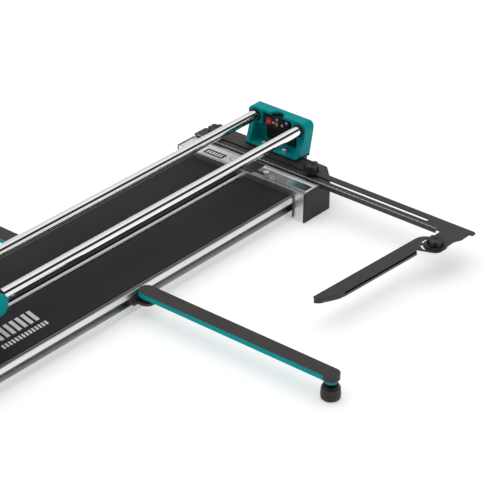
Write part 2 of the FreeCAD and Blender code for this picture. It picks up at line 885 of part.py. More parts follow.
def outrigger_arm(place):
    """The painted steel channel, open below, with the foot's collar at its outer end."""
    inner_end, outer_end, foot_y = outrigger_span()
    half = outrigger_width / 2 - 0.5
    top = outrigger_top - outrigger_strip
    low = outrigger_top - outrigger_height
    channel = prism_z([(place - half, foot_y + 6.0, 0), (place + half, foot_y + 6.0, 0),
                       (place + half, inner_end, half - 0.5), (place - half, inner_end,
                               half - 0.5)], low, top)
    inside = half - outrigger_wall
    room = prism_z([(place - inside, foot_y - 1.0, 0), (place + inside, foot_y - 1.0, 0),
                    (place + inside, inner_end - outrigger_wall, inside - 0.5),
                    (place - inside, inner_end - outrigger_wall,
                     inside - 0.5)], low - 1, top - outrigger_wall)
    hub = along_z(low, top, place, -outrigger_pivot_side, 9.0)
    hub = hub.cut(along_z(low - 1, top - 1.6, place, -outrigger_pivot_side,
                          outrigger_pin_radius + running_fit))
    tongue = block(place - 9.0, place + 9.0, foot_y, foot_y + 12.0, low, low + outrigger_wall)
    collar = along_z(low - 7.0, top - outrigger_wall, place, foot_y, foot_collar_radius)
    body = joined([channel.cut(room), hub, tongue, collar])
    bore = along_z(low - 8.0, top - outrigger_wall - 1.0, place, foot_y, foot_stud_radius + running_fit)
    pin_bore = along_z(low - 1, top - 1.6, place, -outrigger_pivot_side,
                       outrigger_pin_radius + running_fit)
    return body.cut(bore).cut(pin_bore)


def outrigger_cover(place):
    """The black strip on top of the arm, which wraps down over the outer end."""
    inner_end, outer_end, foot_y = outrigger_span()
    half = outrigger_width / 2
    top = outrigger_top
    low = outrigger_top - outrigger_height
    strip = prism_z([(place - half, outer_end, half - 0.5), (place + half, outer_end, half - 0.5),
                     (place + half, inner_end, half - 0.5), (place - half, inner_end, half - 0.5)],
                    top - outrigger_strip, top)
    nose = prism_z([(place - half, outer_end, half - 0.5), (place + half, outer_end, half - 0.5),
                    (place + half, foot_y + 6.0, 0), (place - half, foot_y + 6.0,
                                                      0)], low, top - outrigger_strip)
    nose = nose.cut(along_z(low, top - outrigger_strip, place, foot_y, foot_collar_radius))
    nose = nose.cut(block(place - 9.0, place + 9.0, foot_y, foot_y + 12.0, low, low + outrigger_wall))
    return joined([strip, nose])


def outrigger_foot(place):
    """A ribbed levelling knob with its threaded stud."""
    foot_y = outrigger_span()[2]
    low = outrigger_top - outrigger_height
    profile = [vector(0, 0, 0), vector(foot_radius - 3.0, 0, 0), vector(foot_radius - 0.6, 0, 2.6),
               vector(foot_radius, 0, 9.0), vector(foot_radius - 0.8, 0, foot_height - 5.0),
               vector(foot_radius - 3.6, 0, foot_height), vector(0, 0, foot_height), vector(0, 0, 0)]
    body = Part.Face(Part.makePolygon(profile)).revolve(vector(0, 0, 0), vector(0, 0, 1), 360)
    body = body.cut(group([rib_groove(step) for step in range(foot_ribs)]))
    body.translate(vector(place, foot_y, 0))
    stud = along_z(foot_height - 4.0, low + outrigger_height - outrigger_strip - outrigger_wall - 2.0,
                   place, foot_y,
                   foot_stud_radius)
    return joined([body, stud])


def rib_groove(step):
    turn = math.radians(step * 360.0 / foot_ribs)
    radius = foot_radius + 0.4
    return along_z(4.0, foot_height + 1, radius * math.cos(turn), radius * math.sin(turn), 1.3)


# ---- carriage ----

def housing_side(centre):
    """One side of the carriage seen across the cutter: rounded noses and a hump over the rollers."""
    half = carriage_length / 2
    nose = (housing_high - housing_low) / 2
    hump = hump_length / 2
    return [(centre - half, housing_low, nose - 0.5), (centre + half, housing_low, nose - 0.5),
            (centre + half, housing_high, nose - 0.5), (centre + hump, housing_high, 6.0),
            (centre + hump - 10, hump_top, 10.0), (centre - hump + 10, hump_top, 10.0),
            (centre - hump, housing_high, 6.0), (centre - half, housing_high, nose - 0.5)]


def carriage_body():
    centre = carriage_place
    inner = -(rail_side - housing_width / 2)
    outer = inner - housing_width
    housing = prism_y(housing_side(centre), outer, inner)
    housing = housing.cut(along_x(centre - 100, centre + 100, -rail_side, rail_height,
                                  rail_radius + 1.5))
    for side in (-1, 1):
        x = centre + side * roller_spread / 2
        half = roller_radius + 1.5
        room = block(x - half, x + half, -rail_side - roller_width / 2 - 1.0,
                     -rail_side + roller_width / 2 + 1.0,
                     rail_height, roller_height() + roller_radius + 1.5)
        housing = housing.cut(room)
        housing = housing.cut(along_y(outer - 1, inner + 1, x, roller_height(), roller_axle_radius))
        shoe_x = centre + side * (carriage_length / 2 - shoe_length / 2)
        housing = housing.cut(along_x(shoe_x - shoe_length / 2, shoe_x + shoe_length / 2, -rail_side,
                                      rail_height,
                                      rail_radius + 4.0))
    pivot = centre + lever_pivot_ahead
    front_bridge = prism_y([(pivot - 13, bridge_low, 3), (pivot + 15, bridge_low, 3),
                            (pivot + 15, front_bridge_high, 3), (pivot - 13, front_bridge_high, 3)],
                           inner - 1, -inner + 1)
    rear_bridge = prism_y([(centre - 74, bridge_low, 3), (centre - 56, bridge_low, 3),
                           (centre - 56, rear_bridge_high, 3), (centre - 74, rear_bridge_high, 3)],
                          inner - 1, -inner + 1)
    body = joined([housing, to_rear(housing), front_bridge, rear_bridge])
    reach = lever_thickness / 2 + lift_gap
    for side in (-1, 1):
        low_y = min(side * reach, side * (reach + 9.0))
        cheek = prism_y([(pivot - 13, front_bridge_high - 4, 0), (pivot + 15, front_bridge_high - 4, 0),
                         (pivot + 13, lever_pivot_height + 13, 12.0), (pivot - 13,
                                 lever_pivot_height + 13, 12.0)],
                        low_y, low_y + 9.0)
        body = body.fuse(cheek)
    body = body.removeSplitter()
    return body.cut(along_y(-20, 20, pivot, lever_pivot_height, lever_pin_radius))


def roller_height():
    return rail_height + rail_radius + roller_radius + lift_gap


def roller(along, side):
    """A grooved roller that runs on top of a rail."""
    x = carriage_place + along * roller_spread / 2
    y = side * rail_side
    half = roller_width / 2
    body = along_y(y - half, y + half, x, roller_height(), roller_radius)
    body = body.cut(along_y(y - half - 1, y - half + 1.2, x, roller_height(), roller_radius - 3.0).cut(
        along_y(y - half - 2, y + half, x, roller_height(), roller_axle_radius + 2.5)))
    body = body.cut(along_y(y + half - 1.2, y + half + 1, x, roller_height(), roller_radius - 3.0).cut(
        along_y(y - half, y + half + 2, x, roller_height(), roller_axle_radius + 2.5)))
    return body.cut(along_y(y - half - 1, y + half + 1, x, roller_height(),
                            roller_axle_radius + running_fit))


def roller_axles():
    """Axle bolts through the housings, with hex heads outside."""
    axles = []
    inner = -(rail_side - housing_width / 2)
    outer = inner - housing_width
    for along in (-1, 1):
        x = carriage_place + along * roller_spread / 2
        stem = along_y(outer, inner + 6.5, x, roller_height(), roller_axle_radius)
        head = prism_y([(x + a, roller_height() + b, 0) for a, b, unused in hexagon(hex_across_flats)],
                       outer - hex_height, outer)
        nut = prism_y([(x + a, roller_height() + b, 0) for a, b, unused in hexagon(hex_across_flats)],
                      inner, inner + 5.0)
        axle = joined([stem, head, nut])
        axles.append(axle)
        axles.append(to_rear(axle))
    return group(axles)


def guide_shoes():
    """Plastic sleeves at both ends of both housings, which slide on the rails."""
    shoes = []
    for along in (-1, 1):
        x = carriage_place + along * (carriage_length / 2 - shoe_length / 2)
        start = x - shoe_length / 2
        sleeve = along_x(start, start + shoe_length, -rail_side, rail_height, rail_radius + 4.0)
        sleeve = sleeve.cut(along_x(start, start + shoe_length, -rail_side, rail_height,
                                    rail_radius + lift_gap))
        shoes.append(sleeve)
        shoes.append(to_rear(sleeve))
    return group(shoes)


def lever_pin():
    pivot = carriage_place + lever_pivot_ahead
    side = lever_thickness / 2 + lift_gap + 9.0
    stem = along_y(-side - 1.0, side + 1.0, pivot, lever_pivot_height, lever_pin_radius)
    head = along_y(-side - 4.0, -side, pivot, lever_pivot_height, 8.0)
    clip = along_y(side, side + 2.0, pivot, lever_pivot_height, 8.0)
    return joined([stem, head, clip])


def wheel_centre():
    return carriage_place - wheel_behind, breaker_top + wheel_lift + wheel_radius


def socket_place():
    """Where the lever's flat bar ends and the round handle starts."""
    return carriage_place - 78.0, lever_pivot_height + lever_rise


def lever_arm():
    """Flat lever with its hub, the leg that carries the wheel, and the handle tube."""
    pivot = carriage_place + lever_pivot_ahead
    half = lever_thickness / 2
    wheel_x, wheel_z = wheel_centre()
    socket_x, socket_z = socket_place()
    hub = along_y(-half, half, pivot, lever_pivot_height, lever_hub_radius)
    bar = prism_y([(pivot + 4, lever_pivot_height - 11, 4), (pivot + 4, lever_pivot_height + 11, 4),
                   (socket_x + 20, socket_z + 13, 30), (socket_x - 12, socket_z + 15, 6),
                   (socket_x - 12, socket_z - 11, 6), (socket_x + 20, socket_z - 12, 30)], -half, half)
    pin_x = breaker_pin_x()
    leg = prism_y([(wheel_x - 9, wheel_z - 6, 4), (wheel_x + 8, wheel_z - 6, 4),
                   (pin_x + 1, breaker_pin_height - 11, 8),
                   (pin_x + 10, breaker_pin_height - 9, 5), (pin_x + 10, breaker_pin_height + 14, 20),
                   (wheel_x + 30, lever_pivot_height + 4, 0), (wheel_x - 14, lever_pivot_height + 10,
                           0)], -half, half)
    slope = math.radians(28.0)
    direction = vector(-math.cos(slope), 0, math.sin(slope))
    start = vector(socket_x + 6, 0, socket_z)
    tube = rod(start, direction, handle_radius, handle_length)
    ferrule = rod(start - direction * 2.0, direction, handle_radius + 3.0, 30.0)
    body = joined([hub, bar, leg, ferrule, tube])
    body = body.cut(along_y(-20, 20, pivot, lever_pivot_height, lever_pin_radius + running_fit))
    slot = wheel_thickness / 2 + 0.6
    room = block(wheel_x - 30, wheel_x + wheel_radius + 1.4, -slot, slot, wheel_z - 30,
                 wheel_z + wheel_radius + 1.4)
    body = body.cut(room)
    body = body.cut(along_y(-20, 20, wheel_x, wheel_z, wheel_axle_radius))
    return body.cut(along_y(-20, 20, breaker_pin_x(), breaker_pin_height, breaker_pin_radius))


def breaker_pin_x():
    return carriage_place + breaker_pin_ahead


def handle_grip():
    socket_x, socket_z = socket_place()
    slope = math.radians(28.0)
    direction = vector(-math.cos(slope), 0, math.sin(slope))
    tube_start = vector(socket_x + 6, 0, socket_z)
    start = tube_start + direction * (handle_length - grip_length + 8.0)
    body = rod(start, direction, grip_radius, grip_length)
    end_edges = [edge for edge in body.Edges if edge.Length > 2 * math.pi * grip_radius - 1
                 and edge.Curve.TypeId == "Part::GeomCircle"]
    body = body.makeFillet(5.0, end_edges)
    return body.cut(rod(start, direction, handle_radius, grip_length - 8.0))


def scoring_wheel():
    """Carbide wheel with a bevelled rim."""
    x, z = wheel_centre()
    half = wheel_thickness / 2
    profile = [vector(0, -half, 0), vector(wheel_radius - 2.2, -half, 0), vector(wheel_radius, 0, 0),
               vector(wheel_radius - 2.2, half, 0), vector(0, half, 0), vector(0, -half, 0)]
    body = Part.Face(Part.makePolygon(profile)).revolve(vector(0, 0, 0), vector(0, 1, 0), 360)
    body.translate(vector(x, 0, z))
    return body.cut(along_y(-5, 5, x, z, wheel_axle_radius + running_fit))


def wheel_axle():
    x, z = wheel_centre()
    half = lever_thickness / 2
    stem = along_y(-half - 1.0, half + 1.0, x, z, wheel_axle_radius)
    head = along_y(-half - 3.5, -half, x, z, 5.0)
    nut = along_y(half, half + 3.0, x, z, 5.0)
    return joined([stem, head, nut])


def breaker_pin():
    half = lever_thickness / 2
    stem = along_y(-half - 9.0, half + 9.0, breaker_pin_x(), breaker_pin_height, breaker_pin_radius)
    return stem


def breaker_foot():
    """Winged foot that straddles the lever's leg and presses on both sides of the score line."""
    x = breaker_pin_x()
    inner = lever_thickness / 2 + lift_gap
    span = breaker_foot_span / 2
    pieces = []
    for side in (-1, 1):
        low_y = min(side * inner, side * (inner + 6.0))
        pieces.append(prism_y([(x - 11, breaker_foot_low + 4, 0), (x + 11, breaker_foot_low + 4, 0),
                               (x + 8, breaker_pin_height + 8, 7.5), (x - 8, breaker_pin_height + 8,
                                       7.5)],
                              low_y, low_y + 6.0))
    low = breaker_foot_low
    wing = prism_x([(-span, low, 1.5), (-inner - 3, low + 1.5, 0), (-inner, low + 2.5, 0),
                    (-inner, low + 12, 0),
                    (-inner - 14, low + 11, 8), (-span, low + 7, 2.0)], x - 15, x + 15)
    pieces.append(wing)
    pieces.append(to_rear(wing))
    nose = block(x + 10.0, x + 15.0, -inner - 1, inner + 1, low + 3.0, low + 12.0)
    pieces.append(nose)
    body = joined(pieces)
    return body.cut(along_y(-30, 30, x, breaker_pin_height, breaker_pin_radius + running_fit))


os.makedirs("parts", exist_ok=True)

save("front_side_rail", side_rail())
save("rear_side_rail", to_rear(side_rail()))
save("centre_spine", centre_spine())
save("rail_spacers", rail_spacers())
save("deck_panels", group([deck_panel(), to_rear(deck_panel())]))
save("front_pad", pad())
save("rear_pad", to_rear(pad()))
save("pad_edges", group([pad_edge(), to_rear(pad_edge())]))
save("breaker_bar", breaker_bar())
save("far_beam", far_beam())
save("near_beam", near_beam())
save("top_plates", group([far_top_plate(), to_near(top_plate())]))
save("scale_label", scale_label())
save("far_end_caps", group([end_cap(), to_rear(end_cap())]))
save("near_end_caps", group([to_near(end_cap()), to_rear(to_near(end_cap()))]))
save("rest_pads", rest_pads())
save("far_bracket", bracket())
save("near_bracket", to_near(bracket()))
save("bracket_gaskets", group([gasket(), to_near(gasket())]))
save("front_rail", rail())
save("rear_rail", to_rear(rail()))
save("rail_collars", rail_collars())
save("bracket_bolts", bracket_bolts())
save("rail_screws", rail_screws())
save("laser_housing", laser_housing())
save("laser_screws", laser_screws())
save("laser_lens", laser_lens())
save("laser_switch", laser_switch())
save("battery_cover", battery_cover())
save("fence_studs", fence_studs())
save("front_clamp_knob", clamp_knob(-1))
save("rear_clamp_knob", clamp_knob(1))
save("fence_bar", fence_bar())
save("swivel_arm", swivel_arm())
save("pivot_bolt", pivot_bolt())
save("pivot_knob", pivot_knob())
for prefix, place, turned in (("front", front_outrigger_place, False),
                              ("rear", rear_outrigger_place, True)):
    for suffix, make in (("slider", slider), ("pivot_pin", pivot_pin), ("outrigger_arm", outrigger_arm),
                         ("outrigger_cover", outrigger_cover), ("outrigger_foot", outrigger_foot)):
        piece = make(place)
        save(prefix + "_" + suffix, to_rear(piece) if turned else piece)
save("carriage_body", carriage_body())
for along, word in ((-1, "near"), (1, "far")):
    for side, edge in ((-1, "front"), (1, "rear")):
        save(word + "_" + edge + "_roller", roller(along, side))
save("roller_axles", roller_axles())
save("guide_shoes", guide_shoes())
save("lever_pin", lever_pin())
save("lever_arm", lever_arm())
save("handle_grip", handle_grip())
save("scoring_wheel", scoring_wheel())
save("wheel_axle", wheel_axle())
save("breaker_pin", breaker_pin())
save("breaker_foot", breaker_foot())
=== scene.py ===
import json
import math

import bmesh
import bpy
from mathutils import Matrix, Vector


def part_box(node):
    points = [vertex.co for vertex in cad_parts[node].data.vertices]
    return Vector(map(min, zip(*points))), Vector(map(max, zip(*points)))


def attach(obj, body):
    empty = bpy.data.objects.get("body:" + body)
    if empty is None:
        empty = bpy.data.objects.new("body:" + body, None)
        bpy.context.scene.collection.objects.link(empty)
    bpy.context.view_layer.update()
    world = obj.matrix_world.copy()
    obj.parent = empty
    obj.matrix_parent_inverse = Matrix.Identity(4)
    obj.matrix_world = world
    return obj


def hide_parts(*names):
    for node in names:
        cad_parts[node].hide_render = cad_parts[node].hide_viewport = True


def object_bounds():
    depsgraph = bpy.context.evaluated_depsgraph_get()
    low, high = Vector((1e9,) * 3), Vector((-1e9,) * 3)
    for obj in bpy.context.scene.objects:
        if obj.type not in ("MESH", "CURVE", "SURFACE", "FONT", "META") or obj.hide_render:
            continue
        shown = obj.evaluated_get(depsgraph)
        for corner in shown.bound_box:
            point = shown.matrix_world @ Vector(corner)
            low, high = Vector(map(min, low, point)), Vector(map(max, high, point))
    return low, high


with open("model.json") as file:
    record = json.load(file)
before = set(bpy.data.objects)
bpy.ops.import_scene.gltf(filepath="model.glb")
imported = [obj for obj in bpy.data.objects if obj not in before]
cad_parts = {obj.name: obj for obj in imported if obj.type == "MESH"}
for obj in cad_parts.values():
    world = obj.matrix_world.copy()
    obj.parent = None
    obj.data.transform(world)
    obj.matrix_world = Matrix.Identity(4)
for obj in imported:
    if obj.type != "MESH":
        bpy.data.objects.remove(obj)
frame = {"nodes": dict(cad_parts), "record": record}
nodes = frame["nodes"]
cadLow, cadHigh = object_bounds()
print("frame loaded,", len(nodes), "nodes")

mm = 0.001


# helpers for shader trees

def addNode(tree, kind, inputs=None, **settings):
    node = tree.nodes.new(kind)
    for key, value in settings.items():
        setattr(node, key, value)
    for key, value in (inputs or {}).items():
        node.inputs[key].default_value = value
    return node


def join(tree, source, output, target, socket):
    tree.links.new(source.outputs[output], target.inputs[socket])


def newTree(name):
    material = bpy.data.materials.new(name)
    material.use_nodes = True
    tree = material.node_tree
    tree.nodes.clear()
    out = addNode(tree, "ShaderNodeOutputMaterial")
    shader = addNode(tree, "ShaderNodeBsdfPrincipled")
    join(tree, shader, "BSDF", out, "Surface")
    return material, tree, shader


def stretchedNoise(tree, stretch, scale, detail=4.0, roughness=0.6):
    place = addNode(tree, "ShaderNodeTexCoord")
    mapping = addNode(tree, "ShaderNodeMapping", {"Scale": stretch})
    noise = addNode(tree, "ShaderNodeTexNoise", {"Scale": scale, "Detail": detail, "Roughness": roughness})
    join(tree, place, "Object", mapping, "Vector")
    join(tree, mapping, "Vector", noise, "Vector")
    return noise


def mixColour(tree, source, output, low, high):
    mix = addNode(tree, "ShaderNodeMix", data_type="RGBA")
    join(tree, source, output, mix, 0)
    for socket, value in ((6, low), (7, high)):
        if isinstance(value, tuple):
            mix.inputs[socket].default_value = (*value, 1.0)
        else:
            tree.links.new(value, mix.inputs[socket])
    return mix.outputs[2]


def ranged(tree, source, output, fromLow, fromHigh, toLow, toHigh):
    span = addNode(tree, "ShaderNodeMapRange", {"From Min": fromLow, "From Max": fromHigh,
                                                "To Min": toLow, "To Max": toHigh})
    join(tree, source, output, span, "Value")
    return span


def fillRamp(ramp, stops):
    for index, (position, colour) in enumerate(stops):
        elements = ramp.color_ramp.elements
        stop = elements[index] if index < 2 else elements.new(position)  # a new ramp has two stops
        stop.position = position
        stop.color = (*colour, 1.0)


evenStretch = (1, 1, 1)
noiseDetail = 3.0
blotchSpan = (0.35, 0.65)  # noise levels over which the colour goes to its shade
speckleSpan = (0.62, 0.72)  # only the peaks of the grain carry the speckle colour
glossSpan = (0.3, 0.7)
edgeWearAndHighlightSpan = (0.995, 0.86)  # how far the rounded normal leans from the flat one, as a cosine


def makeFinish(name, look):
    material, tree, shader = newTree(name)
    grain = stretchedNoise(tree, look.get("stretch", evenStretch), look["grainScale"], noiseDetail)
    patches = stretchedNoise(tree, look.get("patchStretch", evenStretch), look["patchScale"], noiseDetail)
    blotch = ranged(tree, patches, "Fac", *blotchSpan, 0.0, 1.0)
    colour = mixColour(tree, blotch, "Result", look["colour"], look["shade"])
    speckleAmount = look.get("speckle", 0.0)
    if speckleAmount:
        speck = ranged(tree, grain, "Fac", *speckleSpan, 0.0, speckleAmount)
        colour = mixColour(tree, speck, "Result", colour, look["speckleColour"])
    rounded = addNode(tree, "ShaderNodeBevel", {"Radius": look["edgeRadius"] * mm}, samples=4)
    # edges that the rounded normal leans away from take the edge colour: partly wear, partly painted
    # highlight along edges
    if "edgeColour" in look:
        flat = addNode(tree, "ShaderNodeNewGeometry")
        agree = addNode(tree, "ShaderNodeVectorMath", operation="DOT_PRODUCT")
        join(tree, rounded, "Normal", agree, 0)
        join(tree, flat, "Normal", agree, 1)
        edgeWearAndHighlight = ranged(tree, agree, "Value", *edgeWearAndHighlightSpan, 0.0, look["edgeAmount"])
        colour = mixColour(tree, edgeWearAndHighlight, "Result", colour, look["edgeColour"])
    tree.links.new(colour, shader.inputs["Base Color"])
    rough = ranged(tree, grain, "Fac", *glossSpan, *look["roughness"])
    join(tree, rough, "Result", shader, "Roughness")
    bump = addNode(tree, "ShaderNodeBump", {"Strength": look["bump"], "Distance": look["bumpDepth"] * mm})
    join(tree, grain, "Fac", bump, "Height")
    join(tree, rounded, "Normal", bump, "Normal")
    join(tree, bump, "Normal", shader, "Normal")
    shader.inputs["Metallic"].default_value = look.get("metallic", 0.0)
    for socket, value in look.get("sockets", {}).items():
        shader.inputs[socket].default_value = value
    return material


# finishes, one dictionary each; radii and depths are in mm

# the teal's lighter edge colour is painted highlight along the painted edges
tealEnamel = {"colour": (0.0, 0.325, 0.345), "shade": (0.0, 0.285, 0.30), "patchScale": 14,
              "grainScale": 900, "roughness": (0.30, 0.46), "bump": 0.12, "bumpDepth": 0.12,
              "edgeRadius": 0.9, "edgeColour": (0.07, 0.50, 0.51), "edgeAmount": 0.6,
              "sockets": {"Specular IOR Level": 0.06}}
extrudedAluminium = {"colour": (0.80, 0.80, 0.80), "shade": (0.70, 0.70, 0.71), "patchScale": 9,
                     "patchStretch": (0.4, 30, 30), "stretch": (1.5, 260, 260), "grainScale": 5,
                     "roughness": (0.24, 0.40), "bump": 0.10, "bumpDepth": 0.04, "metallic": 1.0,
                     "edgeRadius": 0.4, "edgeColour": (0.95, 0.95, 0.95), "edgeAmount": 0.6,
                     "sockets": {"Anisotropic": 0.35}}
# upright bands of lighter and darker silver across the far and near beams, set by the patch stretch: painted
# reflection
beamBandedReflection = {"colour": (0.82, 0.82, 0.82), "shade": (0.66, 0.66, 0.67), "patchScale": 7,
                 "patchStretch": (1, 14, 0.6), "stretch": (240, 1.5, 240), "grainScale": 5,
                 "roughness": (0.26, 0.42), "bump": 0.12, "bumpDepth": 0.04, "metallic": 1.0,
                 "edgeRadius": 0.5, "edgeColour": (0.95, 0.95, 0.95), "edgeAmount": 0.6,
                 "sockets": {"Anisotropic": 0.3}}
blackCoat = {"colour": (0.030, 0.027, 0.026), "shade": (0.040, 0.036, 0.034), "patchScale": 11,
             "grainScale": 1300, "roughness": (0.40, 0.58), "bump": 0.5, "bumpDepth": 0.18,
             "edgeRadius": 0.5, "edgeColour": (0.13, 0.12, 0.115), "edgeAmount": 0.45,
             "speckle": 0.45, "speckleColour": (0.10, 0.09, 0.088),
             "sockets": {"Specular IOR Level": 0.35}}
# painted highlight: a lighter copy of the black paint for the arm's rolled hem
hemHighlightCoat = {**blackCoat, "colour": (0.11, 0.103, 0.10), "shade": (0.15, 0.14, 0.136)}
# painted shade: a near-black matte sheet laid in the fold over the arm's hem
foldShadow = {**blackCoat, "colour": (0.003, 0.003, 0.003), "shade": (0.004, 0.004, 0.004),
              "speckle": 0.0, "edgeColour": (0.004, 0.004, 0.004), "roughness": (0.7, 0.9),
              "sockets": {"Specular IOR Level": 0.05}}
padRubber = {"colour": (0.0112, 0.0112, 0.0115), "shade": (0.0165, 0.0165, 0.0168), "patchScale": 5,
             "grainScale": 1500, "roughness": (0.50, 0.68), "bump": 0.5, "bumpDepth": 0.14,
             "edgeRadius": 0.6, "edgeColour": (0.06, 0.06, 0.06), "edgeAmount": 0.3,
             "speckle": 0.25, "speckleColour": (0.035, 0.035, 0.035),
             "sockets": {"Specular IOR Level": 0.22}}
# the rounded pad edges: lighter grey than the pad rubber, partly their own grey and partly painted highlight
stripHighlightRubber = {"colour": (0.085, 0.085, 0.086), "shade": (0.13, 0.13, 0.131), "patchScale": 6,
               "patchStretch": (0.5, 8, 8), "stretch": (0.02, 1, 1), "grainScale": 900,
               "roughness": (0.34, 0.46), "bump": 0.25, "bumpDepth": 0.1, "edgeRadius": 1.2,
               "edgeColour": (0.20, 0.20, 0.20), "edgeAmount": 0.5,
               "sockets": {"Specular IOR Level": 0.55}}
softRubber = {"colour": (0.013, 0.013, 0.0135), "shade": (0.020, 0.020, 0.021), "patchScale": 30,
              "grainScale": 1200, "roughness": (0.48, 0.70), "bump": 0.5, "bumpDepth": 0.15,
              "edgeRadius": 0.8, "edgeColour": (0.06, 0.06, 0.06), "edgeAmount": 0.35,
              "sockets": {"Specular IOR Level": 0.3}}
mouldedPlastic = {"colour": (0.0075, 0.0072, 0.0072), "shade": (0.013, 0.0125, 0.0125), "patchScale": 24,
                  "grainScale": 1100, "roughness": (0.34, 0.50), "bump": 0.35, "bumpDepth": 0.12,
                  "edgeRadius": 0.7, "edgeColour": (0.08, 0.08, 0.08), "edgeAmount": 0.5,
                  "sockets": {"Specular IOR Level": 0.28}}
warmPlastic = {"colour": (0.034, 0.030, 0.029), "shade": (0.044, 0.039, 0.037), "patchScale": 16,
               "grainScale": 1300, "roughness": (0.45, 0.62), "bump": 0.45, "bumpDepth": 0.14,
               "edgeRadius": 0.9, "edgeColour": (0.15, 0.135, 0.13), "edgeAmount": 0.4,
               "sockets": {"Specular IOR Level": 0.32}}
# the light edge colour at full amount is painted highlight on the rib edges
ribbedPlastic = {"colour": (0.0035, 0.0033, 0.0033), "shade": (0.0065, 0.006, 0.006), "patchScale": 40,
                 "grainScale": 1100, "roughness": (0.30, 0.44), "bump": 0.3, "bumpDepth": 0.1,
                 "edgeRadius": 0.35, "edgeColour": (0.26, 0.25, 0.24), "edgeAmount": 1.0,
                 "sockets": {"Specular IOR Level": 0.4}}
railChrome = {"colour": (0.96, 0.96, 0.965), "shade": (0.91, 0.91, 0.92), "patchScale": 10,
              "patchStretch": (0.3, 12, 12), "stretch": (1, 60, 60), "grainScale": 14,
              "roughness": (0.04, 0.08), "bump": 0.015, "bumpDepth": 0.02, "metallic": 1.0,
              "edgeRadius": 0.3}
zincSteel = {"colour": (0.74, 0.74, 0.75), "shade": (0.62, 0.62, 0.64), "patchScale": 60,
             "grainScale": 700, "roughness": (0.24, 0.40), "bump": 0.15, "bumpDepth": 0.05, "metallic": 1.0,
             "edgeRadius": 0.4, "edgeColour": (0.80, 0.80, 0.80), "edgeAmount": 0.5}
groundSteel = {"colour": (0.80, 0.80, 0.81), "shade": (0.72, 0.72, 0.73), "patchScale": 8,
               "patchStretch": (0.4, 10, 10), "stretch": (3, 120, 120), "grainScale": 8,
               "roughness": (0.14, 0.24), "bump": 0.06, "bumpDepth": 0.03, "metallic": 1.0,
               "edgeRadius": 0.4, "edgeColour": (0.95, 0.95, 0.95), "edgeAmount": 0.5}
switchRed = {"colour": (0.62, 0.012, 0.010), "shade": (0.52, 0.010, 0.009), "patchScale": 90,
             "grainScale": 1200, "roughness": (0.22, 0.34), "bump": 0.1, "bumpDepth": 0.05,
             "edgeRadius": 0.5, "edgeColour": (0.85, 0.10, 0.08), "edgeAmount": 0.5,
             "sockets": {"Coat Weight": 0.4, "Coat Roughness": 0.08}}
turnedBrass = {"colour": (0.72, 0.38, 0.22), "shade": (0.62, 0.31, 0.18), "patchScale": 120,
               "grainScale": 900, "roughness": (0.20, 0.34), "bump": 0.1, "bumpDepth": 0.03, "metallic": 1.0,
               "edgeRadius": 0.2}
labelFilm = {"colour": (0.36, 0.37, 0.38), "shade": (0.24, 0.25, 0.26), "patchScale": 26,
             "grainScale": 900, "roughness": (0.26, 0.38), "bump": 0.05, "bumpDepth": 0.03, "metallic": 0.3,
             "edgeRadius": 0.15, "sockets": {"Coat Weight": 0.3, "Coat Roughness": 0.1}}
darkCarbide = {"colour": (0.34, 0.34, 0.35), "shade": (0.26, 0.26, 0.27), "patchScale": 200,
               "grainScale": 1800, "roughness": (0.22, 0.36), "bump": 0.1,
               "bumpDepth": 0.02, "metallic": 1.0, "edgeRadius": 0.15,
               "edgeColour": (0.62, 0.62, 0.63), "edgeAmount": 0.8}
whiteInk = {"colour": (0.82, 0.82, 0.82), "shade": (0.66, 0.66, 0.66), "patchScale": 220,
            "grainScale": 1500, "roughness": (0.40, 0.60), "bump": 0.25, "bumpDepth": 0.05,
            "edgeRadius": 0.05}
blackInk = {"colour": (0.012, 0.012, 0.012), "shade": (0.022, 0.022, 0.022), "patchScale": 200,
            "grainScale": 1500, "roughness": (0.28, 0.42), "bump": 0.1, "bumpDepth": 0.03, "edgeRadius": 0.05}
redInk = {"colour": (0.42, 0.07, 0.10), "shade": (0.55, 0.16, 0.18), "patchScale": 260,
          "grainScale": 1200, "roughness": (0.30, 0.42), "bump": 0.05, "bumpDepth": 0.02, "edgeRadius": 0.05}

finishes = {"teal_paint": makeFinish("tealEnamel", tealEnamel),
            "aluminium": makeFinish("extrudedAluminium", extrudedAluminium),
            "black_paint": makeFinish("blackCoat", blackCoat),
            "black_rubber": makeFinish("softRubber", softRubber),
            "black_plastic": makeFinish("mouldedPlastic", mouldedPlastic),
            "chrome": makeFinish("railChrome", railChrome),
            "steel": makeFinish("zincSteel", zincSteel),
            "polished_steel": makeFinish("groundSteel", groundSteel),
            "red_plastic": makeFinish("switchRed", switchRed),
            "brass": makeFinish("turnedBrass", turnedBrass),
            "label": makeFinish("labelFilm", labelFilm),
            "carbide": makeFinish("darkCarbide", darkCarbide)}
padFinish = makeFinish("padRubber", padRubber)
stripHighlightFinish = makeFinish("stripHighlightRubber", stripHighlightRubber)
warmFinish = makeFinish("warmPlastic", warmPlastic)
hemHighlightFinish = makeFinish("hemHighlightCoat", hemHighlightCoat)
foldShadowFinish = makeFinish("foldShadow", foldShadow)
ribFinish = makeFinish("ribbedPlastic", ribbedPlastic)
beamReflectionFinish = makeFinish("beamBandedReflection", beamBandedReflection)
whiteFinish = makeFinish("whiteInk", whiteInk)
blackFinish = makeFinish("blackInk", blackInk)
redInkFinish = makeFinish("redInk", redInk)

